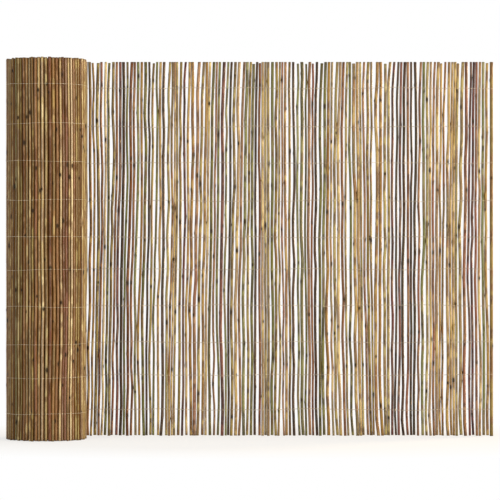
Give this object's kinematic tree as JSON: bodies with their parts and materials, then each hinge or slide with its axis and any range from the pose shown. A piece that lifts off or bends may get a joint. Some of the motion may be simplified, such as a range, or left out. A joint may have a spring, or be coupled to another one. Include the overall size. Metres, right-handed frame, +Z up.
{
  "type": "bamboo fence panel",
  "caption": "Fence panel of thin unpeeled rods bound by rows of wire, standing on end: part still rolled up, the rest run out flat.",
  "frame": {"origin": "middle of the panel's length and depth, at the foot of the rods", "axes": "+X along the mat from the roll to the free end, +Y from the roll's front to the mat's back, +Z up along the rods"},
  "size_m": [1.2958, 0.2228, 1],
  "materials": {
    "rolled_bark": "matt bark, mixed colours",
    "olive_bark": "matt olive bark",
    "green_bark": "matt grey-green bark",
    "tan_bark": "matt tan bark",
    "golden_bark": "matt ochre bark",
    "russet_bark": "matt red-brown bark",
    "plum_bark": "matt plum bark",
    "charcoal_bark": "matt dark brown bark",
    "wire": "weathered zinc coat"
  },
  "bodies": {
    "root": {"rolled_turns": "rolled_bark", "olive_rods": "olive_bark", "green_rods": "green_bark", "tan_rods": "tan_bark", "golden_rods": "golden_bark", "russet_rods": "russet_bark", "plum_rods": "plum_bark", "charcoal_rods": "charcoal_bark", "binding_wire_01": "wire", "binding_wire_02": "wire", "binding_wire_03": "wire", "binding_wire_04": "wire", "binding_wire_05": "wire", "binding_wire_06": "wire", "binding_wire_07": "wire", "binding_wire_08": "wire", "binding_wire_09": "wire", "binding_wire_10": "wire"}
  },
  "joints": []
}
